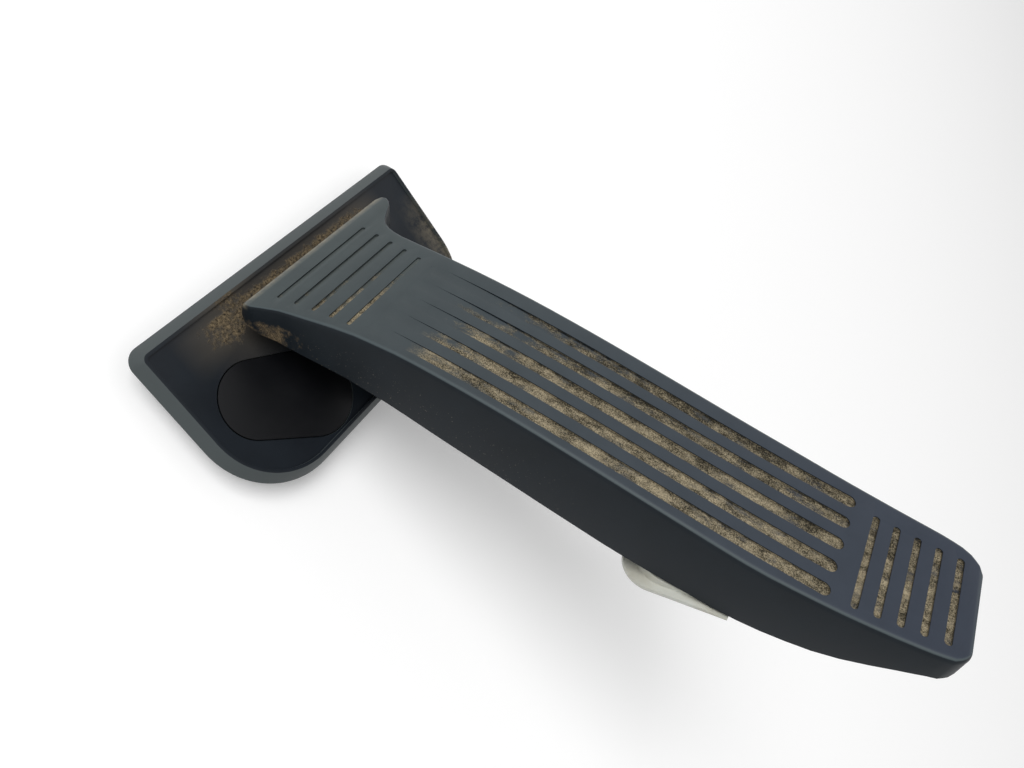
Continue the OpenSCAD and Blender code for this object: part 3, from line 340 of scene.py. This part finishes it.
smears = add(satin, "TexNoise", {"Vector": on_pad, "Scale": 1000 / SMEAR_WIDTH, "Detail": 8.0,
                                 "Roughness": 0.7})
specks = add(satin, "TexNoise", {"Vector": on_pad, "Scale": 1000 / SPECK_WIDTH, "Detail": 2.0})
corner = share(satin, (up_pad, (0.042, 0.012)), (depth, (0.0035, 0.0075)),
               (across_pad, (0.018, 0.022)), most=0.5)
soiled = share(satin, (add(satin, "Math", corner, smears, operation="ADD"), (0.86, 1.06)))
speckled = share(satin, (specks, (0.68, 0.74)), (depth, (0.006, 0.014)),
                 (up_pad, (0.150, 0.020)), most=0.6)
soil_tone = share(satin, (dust_grain, (0.36, 0.66)))
soil_colour = paint(satin, "#231D16", (soil_tone, "#7E6E56"))

# Up-facing faces are painted paler, partly a thin haze of dust and partly painted light,
# paler at the heel and bluer towards the tip. The skirt stays black. The rounded crests
# carry a painted highlight with some rubbing, and the groove edges less of it.
cloud = wear(satin, 0.0, 1.0)
_, skin_y, skin_z = add(satin, "SeparateXYZ", add(satin, "TexCoord").outputs["Normal"]).outputs
top_facing = add(satin, "Math", skin_z, cos, operation="MULTIPLY")
top_facing = add(satin, "Math", skin_y, -sin, top_facing, operation="MULTIPLY_ADD")
# Up-facing faces painted paler: a thin dust haze and painted light together.
dust_haze_and_top_light = share(satin, (top_facing, (0.84, 0.95)),
             most=add(satin, "MapRange", cloud, 0.0, 1.0, 0.8, 1.0))
# Painted light: the top is paler at the heel and bluer towards the tip.
haze_and_top_light_tone = paint(satin, "#434A4B", (share(satin, (up_pad, (0.010, 0.240))), "#333944"))
# Painted light: the heel field's groove floors are painted paler than the top, lifting their
# shade.
heel_groove_painted_light = share(satin, (up_pad, HEEL_GROOVES), (in_groove, (0.0, 1.0)), most=0.85)
# Painted highlight: the rounded crests are painted paler, with some rubbing, and the groove edges
# less so.
crest_highlight = share(satin, (top_facing, (0.66, 0.78)), (top_facing, (0.97, 0.88)),
              most=add(satin, "MapRange", in_field, 0.0, 1.0, 0.55, 0.275))
skirt = paint(satin, "#10161B", (cloud, "#171D22"))
fill(satin, shader.inputs["Base Color"],
     paint(satin, skirt, (dust_haze_and_top_light, haze_and_top_light_tone), (heel_groove_painted_light, "#4E5453"), (crest_highlight, "#566063"),
           (dust, dust_colour), (heel_line, "#8E8672"), (speckled, "#8F8878"),
           (soiled, soil_colour)))
dull = add(satin, "Math", dust, soiled, operation="MAXIMUM")
fill(satin, shader.inputs["Roughness"],
     add(satin, "Math", dull, 0.5, add(satin, "MapRange", cloud, 0.0, 1.0, 0.42, 0.52),
         operation="MULTIPLY_ADD"))
crust = add(satin, "Bump", {"Strength": 0.6, "Distance": 0.0004,
                            "Height": add(satin, "Math", dust, dust_grain, operation="MULTIPLY"),
                            "Normal": grain(satin, shader, 0.4545, 0.03)})
fill(satin, shader.inputs["Normal"], crust)
dress("pedal_pad", satin, 0.0003, 40.0)

# Slide track: milky nylon track screwed into the pad's channel, on which the lever's roller
# runs. Only its lipped foot shows below the skirt.
dress("slide_track", nylon, 0.0004)
dress("track_screws", zinc, 0.0002)

# Sensor case: case, cover and socket moulded in glass-filled black polyester, with a dull,
# slightly mottled skin, and the sensor chips of the same colour. The case is screwed to the
# foot plate from below, under the pad.
mottled, shader = cloudy("Glass-filled polyester", "#191A1C", 0.48, 0.66)
grain(mottled, shader, 0.5556, 0.05)
for name in ("sensor_case", "case_cover", "hall_chips"):
    dress(name, mottled, 0.0002)
for name in ("case_screws", "cover_screws"):
    dress(name, zinc, 0.0002)

# Electronics: sealing ring of soft black rubber, moulded and matt, sensor board under a
# glossy green solder resist, and the socket's pins, stamped from yellow brass strip.
rubber, _ = cloudy("Moulded rubber", "#141415", 0.62, 0.8)
board, _ = cloudy("Solder-resist board", "#1E5A38", 0.25, 0.4)
brass, _ = cloudy("Brass strip", "#C9A45A", 0.22, 0.4, 1.0)
dress("cover_seal", rubber, 0.0)
dress("circuit_board", board, 0.0)
dress("contact_pins", brass, 0.0001)

# Lever: long sensor lever moulded in glass-filled nylon, pressed on its steel shaft with the
# magnet's carrier, and forked round the roller. The sintered ring magnet is dark and dull.
moulded_lever, shader = cloudy("Glass-filled nylon", "#222326", 0.42, 0.6)
grain(moulded_lever, shader, 0.5556, 0.05)
magnet, _ = cloudy("Sintered ferrite", "#3A3A3C", 0.4, 0.6, 0.3)
dress("sensor_lever", moulded_lever, 0.0003)
dress("magnet_holder", moulded_lever, 0.0)
dress("ring_magnet", magnet, 0.0)
dress("lever_shaft", bright_steel, 0.0002)
dress("roller", nylon, 0.0002)
dress("roller_pin", bright_steel, 0.0001)
dress("pin_clip", bright_steel, 0.0)

# Springs and stops: cold-wound wire springs with an oily dark shine, the nylon friction
# shoe, and the rubber buffer that ends the pedal's travel.
wire, _ = cloudy("Oiled spring wire", "#6E6F72", 0.24, 0.42, 1.0)
dress("shoe_spring", wire, 0.0, 50.0)
dress("friction_shoe", nylon, 0.0002)
dress("full_stop", rubber, 0.0002)

# The two return springs stand on the case floor and shorten as the lever comes down, to
# about half their free height. Each is shown by a copy of its solid, with its modifiers
# applied, held by the foot.
for name in ("return_spring_outer", "return_spring_inner"):
    solid = dress(name, wire, 0.0, 50.0)
    bpy.ops.object.select_all(action="DESELECT")
    solid.select_set(True)
    bpy.context.view_layer.objects.active = solid
    bpy.ops.object.duplicate()
    coil = bpy.context.object
    coil.name = name + "_coil"
    del coil["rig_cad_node"]
    for step in [fix.name for fix in coil.modifiers]:
        bpy.ops.object.modifier_apply(modifier=step)
    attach(coil, "foot")
    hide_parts(name)
    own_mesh(coil)

# Studio: plain pale floor, one broad soft lamp above and beside the camera, and the camera
# where the photograph was taken from.
LAMP_PLACE, LAMP_TARGET = Vector((0.95, -1.62, 2.50)), Vector((0.0, 0.04, 0.06))
LAMP_SIZE, LAMP_POWER = 1.8, 72.0
FLOOR_GLOW = 0.14
LOW_SKY, HIGH_SKY = 0.18, 0.64
LENS = 28.09


def seen_directly(mat):
    """1 for rays from the camera, off gloss and through glass, and 0 for those that light."""
    path = add(mat, "LightPath").outputs
    shine = add(mat, "Math", path["Is Glossy Ray"], path["Is Transmission Ray"],
                operation="MAXIMUM")
    return add(mat, "Math", path["Is Camera Ray"], shine, operation="MAXIMUM")


bpy.ops.object.select_all(action="DESELECT")
bpy.ops.mesh.primitive_plane_add(size=8.0, location=(0, 0, 0))
floor = bpy.context.object
floor.name = "studio_floor"
paper, shader = start("Matt white paper", "#F4F4F4", 0.9)
glow = add(paper, "Math", seen_directly(paper), FLOOR_GLOW, operation="MULTIPLY")
glow = add(paper, "Emission", {"Color": "#FFFFFF", "Strength": glow})
fill(paper, paper.node_tree.nodes["Material Output"].inputs["Surface"],
     add(paper, "AddShader", shader, glow))
floor.data.materials.append(paper)

world = bpy.data.worlds.new("Studio")
bpy.context.scene.world = world
world.use_nodes = True
sky = world.node_tree.nodes["Background"]
fill(world, sky.inputs["Color"], "#FFFFFF")
way_up = add(world, "SeparateXYZ", add(world, "TexCoord").outputs["Generated"]).outputs["Z"]
strength = add(world, "MapRange", way_up, 0.0, 1.0, LOW_SKY, HIGH_SKY)
fill(world, sky.inputs["Strength"],
     add(world, "Math", strength, seen_directly(world), operation="MAXIMUM"))

lamp = bpy.data.lights.new("key_lamp", "AREA")
lamp.size = LAMP_SIZE
lamp.energy = LAMP_POWER
holder = bpy.data.objects.new("key_lamp", lamp)
bpy.context.scene.collection.objects.link(holder)
holder.location = LAMP_PLACE
holder.rotation_euler = (LAMP_TARGET - LAMP_PLACE).to_track_quat("-Z", "Y").to_euler()

view = bpy.data.cameras.new("photo_camera")
view.sensor_width = 36.0
view.lens = LENS
view.clip_start = 0.01
camera = bpy.data.objects.new("photo_camera", view)
bpy.context.scene.collection.objects.link(camera)

# The camera's turn and place, solved from the edges of the foot plate and the pad.
camera.matrix_world = Matrix((
    (-0.4758, -0.6072, 0.6363, 0.1843),
    (0.5388, -0.7730, -0.3348, -0.0490),
    (0.6952, 0.1836, 0.6950, 0.2788),
    (0.0, 0.0, 0.0, 1.0),
))
bpy.context.scene.camera = camera
bpy.context.scene.view_settings.view_transform = "Standard"
